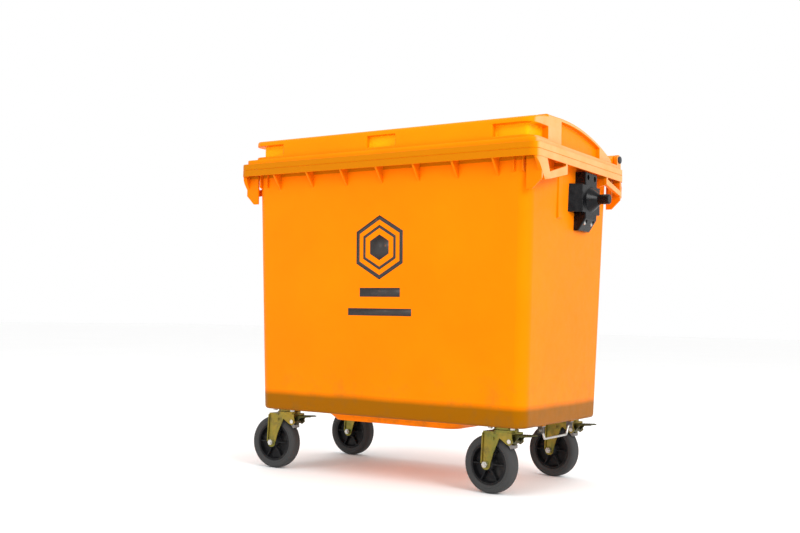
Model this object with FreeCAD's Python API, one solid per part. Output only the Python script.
import FreeCAD, Part
import math
import os

from FreeCAD import Vector

os.makedirs("parts", exist_ok=True)

# Four-wheeled waste container with a hinged lid, 770-litre class. Millimetres, +Z up, floor at z = 0.
# X runs along the long side, -Y is the front, and the lid hinges at the back (+Y).
# Shapes are laid out about the tub's centre line; save() then moves all of them forward by HINGE_SETBACK,
# so that the whole object's box, hinge included, is centred on the origin.

# ---- driving dimensions ----
RIM_LENGTH = 1275.0          # outside of the rim along X
RIM_DEPTH = 775.0            # outside of the rim along Y
RIM_RADIUS = 32.0            # plan corner radius of the rim
RIM_LOW = 1126.0             # lower edge of the rim's skirt
RIM_TOP = 1150.0             # seat of the lid
RIM_SKIN = 5.0
RIM_OVERHANG = 48.0          # rim edge to tub wall, at RIM_LOW
WALL = 6.0
WALL_SLOPE = 0.029           # wall moves out by this per millimetre of height
WALL_RADIUS = 44.0           # plan corner radius of the tub
FLOOR_Z = 230.0              # underside of the floor
FLOOR_ROUND = 12.0           # round between wall and floor
PAD_TOP = 252.5              # inner seat of the caster bolts' nuts
KEEL_LOW = 203.0             # lowest face of the dished floor
KEEL_TOP_X = 312.0           # half sizes of the dished floor, where it leaves the floor
KEEL_TOP_Y = 258.0
KEEL_LOW_X = 265.0           # and at its lowest face
KEEL_LOW_Y = 245.0
KEEL_RADIUS = 56.0
FLOOR_CUT = 296.0            # the tub is stored in four nodes with flat joints at these planes
END_CUT_X = 486.0
FRONT_CUT_Y = -135.0
BACK_CUT_Y = 200.0
RIB_PITCH = 157.0            # triangular ribs under the rim
RIB = 8.0
SLIM_RIB = 6.0
GRIP_STRAP = 14.0            # thickness of the corner grips' straps
GRIP_WEB_LOW = 1021.0        # foot of the grips' corner webs
HINGE_EYE_R = 20.0
HINGE_Y = RIM_DEPTH / 2 + 24.5
HINGE_Z = 1220.0
HINGE_ROD_R = 6.0
LUG_ROOT_Y = 330.0           # the lugs grow out of the back wall here
HINGE_SETBACK = (HINGE_Y + HINGE_EYE_R - RIM_DEPTH / 2) / 2
RUNNING_GAP = 0.06           # radial clearance of every turning fit

LID_GAP = 0.5
LID_SKIRT_TOP = 1173.0
LID_STEP_TOP = 1190.0
LID_STEP_INSET = 14.0
LID_SKIN = 5.0
LID_HALF_LENGTH = 603.0
LID_FRONT = -352.0
LID_BACK = 372.0
LID_RADIUS = 45.0
VAULT_RADIUS = 1152.5        # the lid's top is one arc from front to back
VAULT_Y = -88.5              # its highest line
VAULT_TOP = 1293.5
CREST_TOP = 1290.5           # top of the raised blocks at the lid's ends
POCKET_LOW = 1203.0          # grip pockets in the lid's front wall
POCKET_HIGH = 1246.0
BLOCK_FRONT = -231.0         # the raised blocks run from here
BLOCK_BACK = -125.0          # to here
PANEL_BACK = 218.0           # the sunk end panels run from the blocks to here
PANEL_DEPTH = 17.0

TRUNNION_Y = 81.0
TRUNNION_Z = 1028.0
TRUNNION_TIP = 700.0
TRUNNION_PIN_R = 18.0

CASTER_X = 470.0
CASTER_Y = 252.0
CASTER_HEIGHT = 235.0
WHEEL_R = 100.0
WHEEL_WIDTH = 50.0
TRAIL = 57.0
AXLE_R = 6.0
KINGPIN_R = 8.0
FORK_TOP = 213.0
CROWN = 6.0                  # thickness of the fork's crown
LEG_INNER = 31.0             # half the gap between the fork's legs
LEG = 4.0
BRAKE_X = 38.0
BRAKE_Z = 185.0
BRAKE_PIN_R = 5.0

BOW_X = 548.0
BOW_Z = 214.0
BOW_FRONT = -150.0
BOW_BACK = 104.0
BOW_DROP = 31.0
BOW_R = 4.0

PLUG_X = 0.0
PLUG_Y = -120.0
PLUG_R = 30.0

SIDES = (("left", -1), ("right", 1))
# name, side along X, side along Y, resting turn of the caster about its swivel, in degrees
CASTERS = (
    ("front_left", -1, -1, 3.0),
    ("front_right", 1, -1, -7.0),
    ("rear_right", 1, 1, -7.0),
    ("rear_left", -1, 1, 0.0),
)


# ---- helpers ----
def box(x0, x1, y0, y1, z0, z1):
    return Part.makeBox(x1 - x0, y1 - y0, z1 - z0, Vector(x0, y0, z0))


def mirrored_box(side, x0, x1, y0, y1, z0, z1):
    """A box given for the +X side, or its mirror image when side is -1."""
    low, high = sorted((side * x0, side * x1))
    return box(low, high, y0, y1, z0, z1)


def rod(radius, start, end):
    start = Vector(*start)
    along = Vector(*end) - start
    return Part.makeCylinder(radius, along.Length, start, along)


def cone(radius_start, radius_end, start, end):
    start = Vector(*start)
    along = Vector(*end) - start
    return Part.makeCone(radius_start, radius_end, along.Length, start, along)


def fuse(shapes):
    first, *rest = shapes
    return first.multiFuse(rest).removeSplitter()


def rounded_outline(half_x, half_y, radius, z, centre_y=0.0):
    """Closed rounded rectangle, counter-clockwise from its right side."""
    corners = ((1, 1, 0), (-1, 1, 90), (-1, -1, 180), (1, -1, 270))
    arcs = []
    for side_x, side_y, turn in corners:
        middle = Vector(side_x * (half_x - radius), centre_y + side_y * (half_y - radius), z)
        points = []
        for angle in (turn, turn + 45, turn + 90):
            bearing = math.radians(angle)
            points.append(middle + Vector(radius * math.cos(bearing), radius * math.sin(bearing), 0))
        arcs.append(Part.Arc(*points).toShape())
    edges = []
    for arc, following in zip(arcs, arcs[1:] + arcs[:1]):
        edges.append(arc)
        edges.append(Part.makeLine(arc.Vertexes[-1].Point, following.Vertexes[0].Point))
    return Part.Wire(edges)


def rounded_prism(half_x, half_y, radius, z0, z1, centre_y=0.0):
    outline = rounded_outline(half_x, half_y, radius, z0, centre_y)
    return Part.Face(outline).extrude(Vector(0, 0, z1 - z0))


def polygon_prism(points, along):
    """Extrudes a closed polygon of 3-D points by a vector."""
    corners = [Vector(*point) for point in points]
    return Part.Face(Part.makePolygon(corners + corners[:1])).extrude(Vector(*along))


def side_prism(points, x0, x1):
    """Extrudes a (y, z) polygon from x0 to x1."""
    return polygon_prism([(x0, y, z) for y, z in points], (x1 - x0, 0, 0))


def front_prism(points, y0, y1):
    """Extrudes an (x, z) polygon from y0 to y1."""
    return polygon_prism([(x, y0, z) for x, z in points], (0, y1 - y0, 0))


def ring(outer, inner, z0, z1, x=0.0, y=0.0):
    solid = rod(outer, (x, y, z0), (x, y, z1))
    return solid.cut(rod(inner, (x, y, z0 - 1), (x, y, z1 + 1)))


def hexagon_prism(across_flats, start, end):
    """Hexagonal prism about the line from start to end."""
    start = Vector(*start)
    along = Vector(*end) - start
    radius = across_flats / math.sqrt(3)
    corners = []
    for step in range(7):
        angle = math.radians(60 * step)
        corners.append(Vector(radius * math.cos(angle), radius * math.sin(angle), 0))
    prism = Part.Face(Part.makePolygon(corners)).extrude(Vector(0, 0, along.Length))
    prism.Placement = FreeCAD.Placement(start, FreeCAD.Rotation(Vector(0, 0, 1), along))
    return prism


def turned_y(profile, centre_x, centre_z):
    """Turns an (offset along Y, radius) polygon into a solid about a line parallel to Y."""
    corners = [Vector(centre_x + radius, offset, centre_z) for offset, radius in profile]
    face = Part.Face(Part.makePolygon(corners + corners[:1]))
    return face.revolve(Vector(centre_x, 0, centre_z), Vector(0, 1, 0), 360)


def edges_at(shape, test):
    return [edge for edge in shape.Edges if all(test(vertex.Point) for vertex in edge.Vertexes)]


def save(name, shapes):
    """Writes one node from one solid or a list of separate solids."""
    group = Part.makeCompound(shapes) if isinstance(shapes, list) else shapes
    moved = group.copy()
    moved.translate(Vector(0, -HINGE_SETBACK, 0))
    moved.exportStep(f"parts/{name}.step")


# ---- tub ----
def wall_half(rim_half, z):
    return rim_half - RIM_OVERHANG - WALL_SLOPE * (RIM_LOW - z)


def tub_block(inset, floor_z, top_z):
    """The tub's tapered body with a rounded bottom edge; the inset block is its cavity."""
    sections = []
    for z in (floor_z, top_z):
        half_x = wall_half(RIM_LENGTH / 2, z) - inset
        half_y = wall_half(RIM_DEPTH / 2, z) - inset
        sections.append(rounded_outline(half_x, half_y, WALL_RADIUS - inset, z))
    block = Part.makeLoft(sections, True, True)
    low_edges = edges_at(block, lambda point: abs(point.z - floor_z) < 0.01)
    return block.makeFillet(FLOOR_ROUND - inset, low_edges)


def keel_block(inset, high_z, low_z):
    """Dished middle of the floor, between the casters."""
    top = rounded_outline(KEEL_TOP_X - inset, KEEL_TOP_Y - inset, KEEL_RADIUS - inset, high_z)
    bottom = rounded_outline(KEEL_LOW_X - inset, KEEL_LOW_Y - inset, KEEL_RADIUS - 11 - inset, low_z)
    return Part.makeLoft([top, bottom], True, True)


def rim():
    """Turned-down rim, with the space that the stiffening ribs stand in left open below."""
    half_x = RIM_LENGTH / 2
    half_y = RIM_DEPTH / 2
    block = rounded_prism(half_x, half_y, RIM_RADIUS, RIM_LOW, RIM_TOP)
    pocket = rounded_prism(
        half_x - RIM_SKIN, half_y - RIM_SKIN, RIM_RADIUS - RIM_SKIN, RIM_LOW - 1, RIM_TOP - RIM_SKIN
    )
    return block.cut(pocket)


def rim_ribs():
    """Triangular ribs under the front and back rim, and the slim upright ribs beside the end ones."""
    wall_y = wall_half(RIM_DEPTH / 2, RIM_LOW)
    edge_y = RIM_DEPTH / 2 - RIM_SKIN + 1
    ribs = []
    for side in (-1, 1):
        outline = [(wall_y - 6, RIM_TOP - 3), (edge_y, RIM_TOP - 3), (edge_y, RIM_LOW), (wall_y - 4, 1068.0)]
        outline = [(side * y, z) for y, z in outline]
        for step in range(-3, 4):
            middle = step * RIB_PITCH
            ribs.append(side_prism(outline, middle - RIB / 2, middle + RIB / 2))
        for middle in (-566.0, -532.0, 532.0, 566.0):
            slim = [(wall_y - 6, 1080.0), (wall_y + 9, 1086.0)]
            slim += [(wall_y + 9, RIM_TOP - 3), (wall_y - 6, RIM_TOP - 3)]
            slim = [(side * y, z) for y, z in slim]
            ribs.append(side_prism(slim, middle - SLIM_RIB / 2, middle + SLIM_RIB / 2))
    return ribs


def side_rib(side):
    """Upright rib on the end wall, between the front grip and the trunnion bracket."""
    middle = -101.0
    return mirrored_box(side, 560.0, 592.0, middle - 16, middle + 16, 941.0, RIM_TOP - 3)


def front_grip():
    """(y, z) outlines of the front grip's strap and of the opening in it, with its web and post."""
    strap = [(-378, RIM_LOW + 6), (-378, RIM_LOW - 4), (-322, 1052), (-279, 1060), (-142, 1091)]
    strap += [(-142, RIM_LOW + 6)]
    opening = [(-304, RIM_LOW), (-284, 1084), (-156, 1119), (-156, RIM_LOW)]
    return strap, opening, (-345.0, -337.0), (-151.0, -143.0)


def back_grip():
    """The same for the back grip, which stands nearer its corner."""
    strap = [(386, RIM_LOW + 6), (386, 1062), (241, 1092), (208, 1100), (208, RIM_LOW + 6)]
    opening = [(366, RIM_LOW), (366, 1086), (250, 1112), (222, 1119), (222, RIM_LOW)]
    return strap, opening, (345.0, 353.0), (209.0, 217.0)


def corner_grip(side, outlines):
    """Moulded grip under the rim: a sloping strap, a chamfered corner web and an upright post."""
    strap_outline, opening, web_span, post_span = outlines
    outer = RIM_LENGTH / 2 - 1.5
    strap = rounded_prism(outer, RIM_DEPTH / 2 - 1.5, RIM_RADIUS, 1040.0, RIM_LOW + 6)
    inner_y = RIM_DEPTH / 2 - 1.5 - GRIP_STRAP
    strap = strap.cut(rounded_prism(outer - GRIP_STRAP, inner_y, RIM_RADIUS - GRIP_STRAP, 1030.0, RIM_TOP))
    strap = strap.common(side_prism(strap_outline, side * 560, side * 660))
    strap = strap.cut(side_prism(opening, side * 560, side * 660))
    web_outline = [(570, RIM_LOW + 6), (outer - 1, RIM_LOW + 6), (outer - 1, 1055)]
    web_outline += [(600, GRIP_WEB_LOW), (570, GRIP_WEB_LOW)]
    web = front_prism([(side * x, z) for x, z in web_outline], *web_span)
    post_outline = [(570, RIM_LOW + 6), (outer - 2, RIM_LOW + 6), (outer - 2, 1100), (570, 1084)]
    post = front_prism([(side * x, z) for x, z in post_outline], *post_span)
    return [strap, web, post]


def hinge_lug(x0, x1):
    """Ear behind the rim that carries a hinge rod."""
    rim_edge = RIM_DEPTH / 2
    back = HINGE_Y + HINGE_EYE_R
    foot = [(rim_edge - 8, RIM_TOP - 3), (LUG_ROOT_Y, RIM_TOP - 3), (LUG_ROOT_Y, 1050), (back - 12, RIM_LOW)]
    foot += [(back, RIM_LOW + 14), (back, RIM_TOP), (rim_edge - 8, RIM_TOP)]
    neck_y = HINGE_Y - HINGE_EYE_R - 0.2
    neck = box(x0, x1, neck_y, back, RIM_LOW + 14, HINGE_Z)
    eye = rod(HINGE_EYE_R, (x0, HINGE_Y, HINGE_Z), (x1, HINGE_Y, HINGE_Z))
    bore = rod(HINGE_ROD_R + RUNNING_GAP, (x0 - 1, HINGE_Y, HINGE_Z), (x1 + 1, HINGE_Y, HINGE_Z))
    return fuse([side_prism(foot, x0, x1), neck, eye]).cut(bore)


def caster_blocks(half_x, half_y, z0, z1):
    """One block over each caster's swivel."""
    blocks = []
    for _, side_x, side_y, _ in CASTERS:
        x = side_x * CASTER_X
        y = side_y * CASTER_Y
        blocks.append(box(x - half_x, x + half_x, y - half_y, y + half_y, z0, z1))
    return blocks


def plate_bolt_places():
    """Centres of the sixteen bolts that hold the caster plates, plate by plate."""
    places = []
    for _, side_x, side_y, _ in CASTERS:
        for step_x in (-1, 1):
            for step_y in (-1, 1):
                places.append((side_x * CASTER_X + step_x * 42.0, side_y * CASTER_Y + step_y * 33.0))
    return places


def bow_pads():
    """Thickened places under the right wall that the bow's brackets are riveted to."""
    places = bow_bracket_places()
    return [box(BOW_X - 16, BOW_X + 12, y - 14, y + 14, FLOOR_Z - 1, FLOOR_Z + WALL) for y in places]


def tub_holes():
    """Bolt holes in the caster pads, the trunnion's bolt holes and the drain."""
    holes = [rod(5.25, (x, y, 220), (x, y, 300)) for x, y in plate_bolt_places()]
    holes += [rod(11.5, (x, y, PAD_TOP), (x, y, PAD_TOP + 25)) for x, y in plate_bolt_places()]
    holes += [rod(PLUG_R, (PLUG_X, PLUG_Y, 190), (PLUG_X, PLUG_Y, 230))]
    holes += [rod(2.5, (BOW_X - 4, y, FLOOR_Z - 3), (BOW_X - 4, y, FLOOR_Z + 9)) for y in bow_bracket_places()]
    for _, side in SIDES:
        for y, z in trunnion_bolt_places():
            holes.append(rod(5.25, (side * 560, y, z), (side * 600, y, z)))
    return holes


def tub():
    body = tub_block(0.0, FLOOR_Z, RIM_TOP)
    keel = keel_block(0.0, FLOOR_Z + 3, KEEL_LOW)
    outside = [body, keel, rim(), *rim_ribs(), *bow_pads()]
    for _, side in SIDES:
        outside.append(side_rib(side))
        outside += corner_grip(side, front_grip())
        outside += corner_grip(side, back_grip())
        outside.append(hinge_lug(*sorted((side * 497.0, side * 513.0))))
        outside.append(hinge_lug(*sorted((side * 588.0, side * 604.0))))
    shell = fuse(outside)
    shell = shell.cut(tub_block(WALL, FLOOR_Z + WALL, RIM_TOP + 10))
    shell = shell.cut(keel_block(WALL, FLOOR_Z + WALL + 1, KEEL_LOW + WALL))
    seats = caster_blocks(60.0, 50.0, FLOOR_Z - 5, CASTER_HEIGHT)
    pads = caster_blocks(62.0, 52.0, CASTER_HEIGHT, PAD_TOP)
    shell = fuse([shell.cut(Part.makeCompound(seats)), *pads])
    return shell.cut(Part.makeCompound(tub_holes()))


def save_tub():
    """The one-piece tub, stored as floor, long walls, end walls and corners that meet on flat planes."""
    far = 900.0
    wall_z = (FLOOR_CUT, RIM_TOP + 200)
    corners = []
    for _, side in SIDES:
        corners.append(mirrored_box(side, END_CUT_X, far, -far, FRONT_CUT_Y, *wall_z))
        corners.append(mirrored_box(side, END_CUT_X, far, BACK_CUT_Y, far, *wall_z))
    zones = {
        "tub_floor": [box(-far, far, -far, far, 0, FLOOR_CUT)],
        "tub_long_walls": [box(-END_CUT_X, END_CUT_X, *span, *wall_z) for span in ((-far, 0), (0, far))],
        "tub_end_walls": [
            mirrored_box(side, END_CUT_X, far, FRONT_CUT_Y, BACK_CUT_Y, *wall_z) for _, side in SIDES
        ],
        "tub_corners": corners,
    }
    shell = tub()
    for name, boxes in zones.items():
        solids = []
        for zone in boxes:
            solids += shell.common(zone).Solids
        save(name, solids)


# ---- lid ----
def vault(drop):
    """Everything under the lid's arched top, lowered by drop."""
    radius = VAULT_RADIUS - drop
    centre_z = VAULT_TOP - VAULT_RADIUS
    return rod(radius, (-700, VAULT_Y, centre_z), (700, VAULT_Y, centre_z))


def lid_dome(inset, low_z):
    half_depth = (LID_BACK - LID_FRONT) / 2 - inset
    middle = (LID_BACK + LID_FRONT) / 2
    half_length = LID_HALF_LENGTH - inset
    column = rounded_prism(half_length, half_depth, LID_RADIUS - inset, low_z, CREST_TOP + 20, middle)
    return column.common(vault(inset))


def lid_pockets(grow):
    """Grip pockets under the lid's front edge: one in the middle and one round each corner."""
    low, high = POCKET_LOW - grow, POCKET_HIGH + grow
    depth = 30.0 + grow
    pockets = [box(-61 - grow, 61 + grow, LID_FRONT - 5, LID_FRONT + 22 + grow, low, high)]
    for _, side in SIDES:
        outer = mirrored_box(side, 453 - grow, 640, LID_FRONT - 20, BLOCK_FRONT + grow, low, high)
        core = rounded_prism(LID_HALF_LENGTH - depth, 700, 30, low - 1, high + 1, LID_FRONT + depth + 700)
        pockets.append(outer.cut(core))
    return pockets


def end_panels(grow):
    """Shallow panels sunk in the lid's ends between the raised blocks."""
    panels = []
    for _, side in SIDES:
        inner = LID_HALF_LENGTH - PANEL_DEPTH - grow
        slab = mirrored_box(side, inner, 640, BLOCK_BACK - grow, PANEL_BACK + grow, 1196 - grow, 1320)
        panels.append(slab.common(vault(14.0 - grow)))
    return panels


def end_blocks():
    """Raised blocks over the lid's ends, near the front."""
    blocks = []
    for _, side in SIDES:
        block = mirrored_box(side, 560, LID_HALF_LENGTH + 1, BLOCK_FRONT, BLOCK_BACK, 1240, CREST_TOP)
        top_edges = edges_at(block, lambda point: abs(point.z - CREST_TOP) < 0.01)
        blocks.append(block.makeFillet(4.0, top_edges))
    return blocks


def lid_knuckle(side):
    """Long knuckle that joins the lid's back edge to its hinge rod."""
    x0, x1 = sorted((side * 514.5, side * 586.5))
    arm_outline = [(350, LID_SKIRT_TOP), (386, LID_SKIRT_TOP), (HINGE_Y + 10, HINGE_Z - 16)]
    arm_outline += [(HINGE_Y, HINGE_Z + 19), (350, 1206)]
    arm = side_prism(arm_outline, x0, x1)
    eye = rod(HINGE_EYE_R, (x0, HINGE_Y, HINGE_Z), (x1, HINGE_Y, HINGE_Z))
    return [arm, eye]


def lid():
    half_x = RIM_LENGTH / 2
    half_y = RIM_DEPTH / 2
    low = RIM_TOP + LID_GAP
    skirt = rounded_prism(half_x, half_y, RIM_RADIUS, low, LID_SKIRT_TOP)
    step_x = half_x - LID_STEP_INSET
    step_y = half_y - LID_STEP_INSET
    step = rounded_prism(step_x, step_y, RIM_RADIUS - 4, LID_SKIRT_TOP - 1, LID_STEP_TOP)
    dome = lid_dome(0.0, LID_STEP_TOP - 1)
    dome = dome.cut(Part.makeCompound(lid_pockets(0.0) + end_panels(0.0)))
    knuckles = lid_knuckle(-1) + lid_knuckle(1)
    outside = fuse([skirt, step, dome, *end_blocks(), *knuckles])
    skin = LID_SKIN
    hollow_skirt = rounded_prism(half_x - skin, half_y - skin, RIM_RADIUS - skin, low - 1, LID_SKIRT_TOP - skin)
    hollow_step = rounded_prism(step_x - skin, step_y - skin, RIM_RADIUS - 4 - skin, low, LID_STEP_TOP - skin)
    hollow_dome = lid_dome(skin, low).cut(Part.makeCompound(lid_pockets(skin) + end_panels(skin)))
    bore = rod(HINGE_ROD_R + RUNNING_GAP, (-620, HINGE_Y, HINGE_Z), (620, HINGE_Y, HINGE_Z))
    hollow = fuse([hollow_skirt, hollow_step, hollow_dome])
    return outside.cut(hollow).cut(bore)


def hinge_rod(side):
    start = (side * 495.0, HINGE_Y, HINGE_Z)
    end = (side * 605.0, HINGE_Y, HINGE_Z)
    return rod(HINGE_ROD_R, start, end)


def hinge_caps():
    """Pressed caps on both ends of both rods."""
    caps = []
    for _, side in SIDES:
        for place, away in ((604.5, 1), (496.5, -1)):
            inner = side * place
            outer = side * (place + away * 6.0)
            cap = rod(14.0, (inner, HINGE_Y, HINGE_Z), (outer, HINGE_Y, HINGE_Z))
            rim_edges = edges_at(cap, lambda point, at=outer: abs(point.x - at) < 0.01)
            cap = cap.makeFillet(1.5, rim_edges)
            caps.append(cap.cut(hinge_rod(side)))
    return caps


# ---- trunnions ----
def trunnion_bolt_places():
    """(y, z) of the four bolts of one trunnion bracket."""
    heights = (TRUNNION_Z + 78, TRUNNION_Z - 84)
    return [(TRUNNION_Y + step, z) for z in heights for step in (-30, 30)]


def trunnion(side):
    """Cross-shaped lifting bracket with a tapered boss and a round pin."""
    face = 630.0
    upright_low = 915.0
    upright = [(575, RIM_LOW - 1), (face, RIM_LOW - 1), (face, 958), (602, upright_low), (575, upright_low)]
    upright = front_prism([(side * x, z) for x, z in upright], TRUNNION_Y - 51, TRUNNION_Y + 51)
    upright = upright.makeFillet(4.0, edges_at(upright, lambda point: abs(point.x) > 601))
    half_high = 50.0
    arm_points = [(575, -113), (face, -79), (face, 79), (575, 113)]
    arm = polygon_prism(
        [(side * x, TRUNNION_Y + y, TRUNNION_Z - half_high) for x, y in arm_points], (0, 0, 2 * half_high)
    )
    arm = arm.makeFillet(4.0, edges_at(arm, lambda point: abs(point.x) > face - 1))
    body = fuse([upright, arm])
    middle = (TRUNNION_Y, TRUNNION_Z)
    boss = cone(48.0, 21.0, (side * (face - 2), *middle), (side * 660.0, *middle))
    pin = rod(TRUNNION_PIN_R, (side * 655.0, *middle), (side * TRUNNION_TIP, *middle))
    pin = pin.makeFillet(3.0, edges_at(pin, lambda point: abs(abs(point.x) - TRUNNION_TIP) < 0.01))
    bracket = fuse([body, boss, pin])
    wall_side = tub_block(-0.3, FLOOR_Z, RIM_TOP)
    sockets = []
    for y, z in trunnion_bolt_places():
        sockets.append(rod(5.0, (side * 570, y, z), (side * 612, y, z)))
        sockets.append(rod(10.0, (side * 612, y, z), (side * 640, y, z)))
    return bracket.cut(wall_side).cut(Part.makeCompound(sockets))


def trunnion_bolts():
    """Hexagon-head bolts through each bracket and the tub's wall, each with a nut inside the tub."""
    bolts = []
    for _, side in SIDES:
        for y, z in trunnion_bolt_places():
            inner = wall_half(RIM_LENGTH / 2, z) - WALL - 0.8
            shank = rod(5.0, (side * (inner - 12), y, z), (side * 618, y, z))
            head = hexagon_prism(16.0, (side * 612, y, z), (side * 619, y, z))
            nut = hexagon_prism(17.0, (side * (inner - 9), y, z), (side * inner, y, z))
            bolts.append(fuse([shank, head, nut]))
    return bolts


# ---- casters, laid out about their own swivel with the wheel trailing towards -X ----
def top_plate():
    plate = rounded_prism(56.0, 46.0, 10.0, 230.0, CASTER_HEIGHT)
    race = ring(40.0, 22.0, 222.5, 230.5)
    plate = fuse([plate, race]).cut(rod(KINGPIN_R, (0, 0, 220), (0, 0, 240)))
    holes = [rod(5.0, (x, y, 228), (x, y, 238)) for x in (-42, 42) for y in (-33, 33)]
    return plate.cut(Part.makeCompound(holes))


def kingpin():
    shaft = rod(KINGPIN_R, (0, 0, 204), (0, 0, CASTER_HEIGHT))
    head = rod(13.0, (0, 0, 199), (0, 0, 206.5))
    head = head.makeFillet(2.0, edges_at(head, lambda point: point.z < 199.5))
    return fuse([shaft, head])


def ball_race():
    """Ring that the swivel turns on, seen as one piece with its balls."""
    middle_z = (FORK_TOP + 222.5) / 2
    return Part.makeTorus(31.0, (222.5 - FORK_TOP) / 2 - 0.1, Vector(0, 0, middle_z), Vector(0, 0, 1))


def leg_outline():
    """Side view (x, z) of one fork leg down to its axle eye."""
    eye = 18.0
    upper = [(-70, FORK_TOP), (8, FORK_TOP), (-4, 190), (-27, 140)]
    corners = [(-TRAIL - eye, WHEEL_R), *upper, (-TRAIL + eye, WHEEL_R)]
    return corners


def fork_leg(y0, y1):
    blade = front_prism(leg_outline(), y0, y1)
    eye = rod(18.0, (-TRAIL, y0, WHEEL_R), (-TRAIL, y1, WHEEL_R))
    cheek = front_prism([(0, FORK_TOP), (46, FORK_TOP), (50, 180), (38, 171), (26, 175), (-6, 196)], y0, y1)
    return [blade, eye, cheek]


def fork():
    """Pressed yoke: crown, two legs with folded rear edges, brake cheeks and the raceway's dust ring."""
    outer = LEG_INNER + LEG
    crown = box(-70, 46, -outer, outer, FORK_TOP - CROWN, FORK_TOP)
    disc = rod(44.0, (0, 0, FORK_TOP - CROWN), (0, 0, FORK_TOP))
    pieces = [crown, disc, ring(43.5, 41.0, FORK_TOP - 1, 221.0)]
    for side in (-1, 1):
        y0, y1 = sorted((side * LEG_INNER, side * outer))
        pieces += fork_leg(y0, y1)
        f0, f1 = sorted((side * (outer - 0.5), side * (outer + 5)))
        fold = [(-TRAIL - 18, 104), (-71, FORK_TOP - 6), (-66.5, FORK_TOP - 6), (-TRAIL - 13.5, 104)]
        pieces.append(front_prism(fold, f0, f1))
        rivet = rod(5.0, (-28, side * (outer - 1), 190), (-28, side * (outer + 3), 190))
        pieces.append(rivet)
    yoke = fuse(pieces)
    reach = outer + 20
    yoke = yoke.cut(rod(KINGPIN_R + RUNNING_GAP, (0, 0, 200), (0, 0, 230)))
    yoke = yoke.cut(rod(AXLE_R, (-TRAIL, -reach, WHEEL_R), (-TRAIL, reach, WHEEL_R)))
    return yoke.cut(rod(BRAKE_PIN_R, (BRAKE_X, -reach, BRAKE_Z), (BRAKE_X, reach, BRAKE_Z)))


def axle():
    """Wheel bolt with a hexagon head, and its nut on the other leg."""
    outer = LEG_INNER + LEG
    shank = rod(AXLE_R, (-TRAIL, -outer - 14, WHEEL_R), (-TRAIL, outer + 3, WHEEL_R))
    head = hexagon_prism(19.0, (-TRAIL, outer, WHEEL_R), (-TRAIL, outer + 8, WHEEL_R))
    nut = hexagon_prism(19.0, (-TRAIL, -outer - 10, WHEEL_R), (-TRAIL, -outer, WHEEL_R))
    return fuse([shank, head, nut])


def wheel_bearing():
    """Roller bearing's sleeve, running on the axle."""
    half = LEG_INNER - 0.6
    profile = [(-half, AXLE_R + RUNNING_GAP), (half, AXLE_R + RUNNING_GAP), (half, 11.0), (-half, 11.0)]
    return turned_y(profile, -TRAIL, WHEEL_R)


def wheel_rim():
    """Moulded wheel centre: hub, thin web, six ribs each side and the seat of the tyre."""
    half = 20.0
    profile = [(-28, 11), (-28, 19), (-24, 21), (-3, 23), (-3, 62), (-half, 65), (-half, 72)]
    profile += [(half, 72), (half, 65), (3, 62), (3, 23), (24, 21), (28, 19), (28, 11)]
    centre = turned_y(profile, -TRAIL, WHEEL_R)
    ribs = []
    for step in range(6):
        rib = box(-TRAIL + 18, -TRAIL + 66, -17, 17, WHEEL_R - 2.5, WHEEL_R + 2.5)
        rib.rotate(Vector(-TRAIL, 0, WHEEL_R), Vector(0, 1, 0), 60 * step)
        ribs.append(rib)
    return fuse([centre, *ribs])


def tyre():
    """Solid rubber tyre with rounded shoulders."""
    half = WHEEL_WIDTH / 2
    profile = [(-20, 72), (20, 72), (23, 76), (half, 82), (half, 90), (21, 96), (13, WHEEL_R)]
    profile += [(-13, WHEEL_R), (-21, 96), (-half, 90), (-half, 82), (-23, 76)]
    return turned_y(profile, -TRAIL, WHEEL_R)


def brake_pin():
    outer = LEG_INNER + LEG
    shank = rod(BRAKE_PIN_R, (BRAKE_X, -outer - 4, BRAKE_Z), (BRAKE_X, outer + 4, BRAKE_Z))
    heads = []
    for side in (-1, 1):
        start = (BRAKE_X, side * (outer + 0.3), BRAKE_Z)
        heads.append(rod(7.5, start, (BRAKE_X, side * (outer + 3.5), BRAKE_Z)))
    return fuse([shank, *heads])


def brake_pedal():
    """Foot lever: a sleeve on the pin, two side arms and a ribbed tread."""
    sleeve = rod(9.5, (BRAKE_X, -29, BRAKE_Z), (BRAKE_X, 29, BRAKE_Z))
    arm_outline = [(34, 192), (56, 206), (113, 209), (113, 204.5), (66, 200), (46, 179)]
    pieces = [sleeve]
    for side in (-1, 1):
        y0, y1 = sorted((side * 17.0, side * 21.0))
        pieces.append(front_prism(arm_outline, y0, y1))
    tread = [(52, 201), (56, 206), (113, 209), (113, 205.5), (58, 202.5)]
    pieces.append(front_prism(tread, -20, 20))
    for step in range(5):
        x = 66 + 10 * step
        top = 207.5 + 0.052 * (x - 56)
        pieces.append(box(x - 2, x + 2, -18, 18, top - 2.5, top))
    lever = front_prism([(30, 190), (46, 190), (40, 170), (26, 168)], -8, 8)
    pieces.append(lever)
    sleeve_bore = rod(BRAKE_PIN_R + RUNNING_GAP, (BRAKE_X, -40, BRAKE_Z), (BRAKE_X, 40, BRAKE_Z))
    return fuse(pieces).cut(sleeve_bore)


def brake_shoe():
    """Steel shoe on the lever's toe, curved to the tyre."""
    block = front_prism([(24, 177), (38, 171), (38, 160), (12, 150), (8, 160)], -16, 16)
    block = block.cut(rod(WHEEL_R + 4.2, (-TRAIL, -30, WHEEL_R), (-TRAIL, 30, WHEEL_R)))
    return block.cut(brake_pedal())


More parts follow.
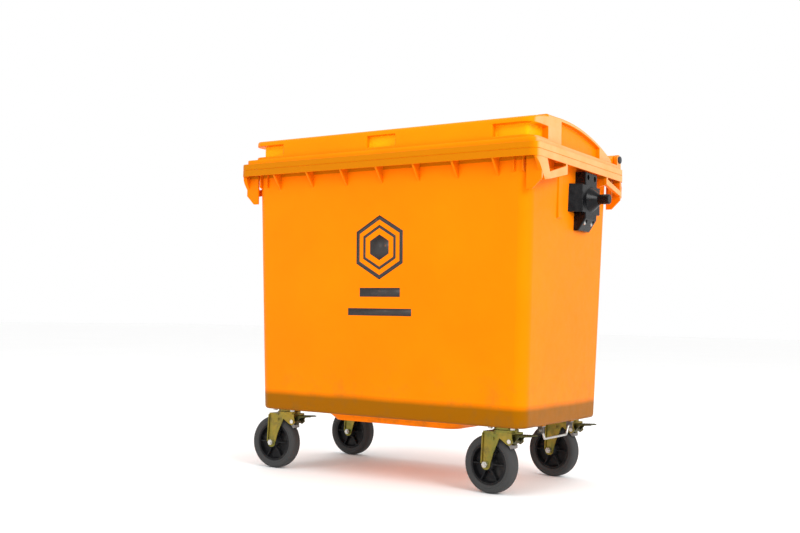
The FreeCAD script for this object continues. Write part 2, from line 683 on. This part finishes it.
CASTER_PIECES = (
    ("top_plate", top_plate),
    ("kingpin", kingpin),
    ("ball_race", ball_race),
    ("fork", fork),
    ("axle", axle),
    ("wheel_bearing", wheel_bearing),
    ("wheel_rim", wheel_rim),
    ("tyre", tyre),
    ("brake_pin", brake_pin),
    ("brake_pedal", brake_pedal),
    ("brake_shoe", brake_shoe),
)
FIXED_PIECES = ("top_plate", "kingpin")


def save_casters():
    for piece, make in CASTER_PIECES:
        shape = make()
        for corner, side_x, side_y, turn in CASTERS:
            placed = shape.copy()
            if piece not in FIXED_PIECES:
                placed.rotate(Vector(0, 0, 0), Vector(0, 0, 1), turn)
            placed.translate(Vector(side_x * CASTER_X, side_y * CASTER_Y, 0))
            save(f"{corner}_{piece}", placed)


def plate_bolts():
    """Bolts up through the caster plates, each with a nut inside the tub."""
    bolts = []
    for x, y in plate_bolt_places():
        shank = rod(5.0, (x, y, 226), (x, y, PAD_TOP + 12))
        head = hexagon_prism(16.0, (x, y, 223.5), (x, y, 230))
        nut = hexagon_prism(17.0, (x, y, PAD_TOP + 0.3), (x, y, PAD_TOP + 8.5))
        bolts.append(fuse([shank, head, nut]))
    return bolts


# ---- steel bow under the right-hand end ----
def bow_bracket_places():
    return (BOW_FRONT + 8, BOW_BACK - 8)


def bow():
    """Bent rod whose two straight ends turn in the brackets."""
    low = BOW_Z - BOW_DROP
    ends = (BOW_FRONT, BOW_BACK)
    route = [
        (ends[0], BOW_Z), (ends[0] + 18, BOW_Z), (ends[0] + 36, low),
        (ends[1] - 36, low), (ends[1] - 18, BOW_Z), (ends[1], BOW_Z),
    ]
    points = [Vector(BOW_X, y, z) for y, z in route]
    bend = 9.0
    edges = []
    last = points[0]
    for before, corner, after in zip(points, points[1:], points[2:]):
        back = (before - corner).normalize()
        ahead = (after - corner).normalize()
        half_turn = (math.pi - back.getAngle(ahead)) / 2
        setback = bend * math.tan(half_turn)
        inward = (back + ahead).normalize()
        middle = corner + inward * (bend / math.cos(half_turn) - bend)
        start = corner + back * setback
        end = corner + ahead * setback
        edges.append(Part.makeLine(last, start))
        edges.append(Part.Arc(start, middle, end).toShape())
        last = end
    edges.append(Part.makeLine(last, points[-1]))
    path = Part.Wire(edges)
    section = Part.Wire(Part.makeCircle(BOW_R, points[0], Vector(0, 1, 0)))
    return path.makePipeShell([section], True, True)


def bow_brackets():
    """Two folded plates with an ear each, hung under the wall."""
    brackets = []
    for y in bow_bracket_places():
        plate = box(BOW_X - 15, BOW_X + 11, y - 12, y + 12, FLOOR_Z - 4, FLOOR_Z - 1)
        ear = box(BOW_X - 12, BOW_X + 11, y - 1.5, y + 1.5, BOW_Z - 10, FLOOR_Z - 1)
        hook = rod(2.0, (BOW_X + 9, y - 6, FLOOR_Z - 3), (BOW_X + 9, y - 12, FLOOR_Z - 3))
        bracket = fuse([plate, ear, hook])
        bracket = bracket.cut(rod(BOW_R + RUNNING_GAP, (BOW_X, y - 5, BOW_Z), (BOW_X, y + 5, BOW_Z)))
        brackets.append(bracket.cut(rod(2.5, (BOW_X - 4, y + 6, FLOOR_Z - 8), (BOW_X - 4, y + 6, FLOOR_Z))))
    return brackets


# ---- drain ----
def drain_seal():
    return ring(37.0, 31.0, KEEL_LOW - 3.0, KEEL_LOW, PLUG_X, PLUG_Y)


def drain_plug():
    """Plug with a wide flange and a finger bar."""
    low = KEEL_LOW - 3.3
    body = rod(PLUG_R - RUNNING_GAP, (PLUG_X, PLUG_Y, low - 2), (PLUG_X, PLUG_Y, KEEL_LOW + WALL + 3))
    flange = rod(38.0, (PLUG_X, PLUG_Y, low - 4), (PLUG_X, PLUG_Y, low))
    bar = box(PLUG_X - 30, PLUG_X + 30, PLUG_Y - 4, PLUG_Y + 4, low - 12, low - 3)
    return fuse([body, flange, bar])


def main():
    save_tub()
    save("lid_shell", lid())
    for name, side in SIDES:
        save(f"hinge_rod_{name}", hinge_rod(side))
        save(f"trunnion_{name}", trunnion(side))
    save("hinge_rod_caps", hinge_caps())
    save("trunnion_bolts", trunnion_bolts())
    save("caster_plate_bolts", plate_bolts())
    save("side_bow", bow())
    save("side_bow_brackets", bow_brackets())
    save("drain_seal", drain_seal())
    save("drain_plug", drain_plug())
    save_casters()


main()
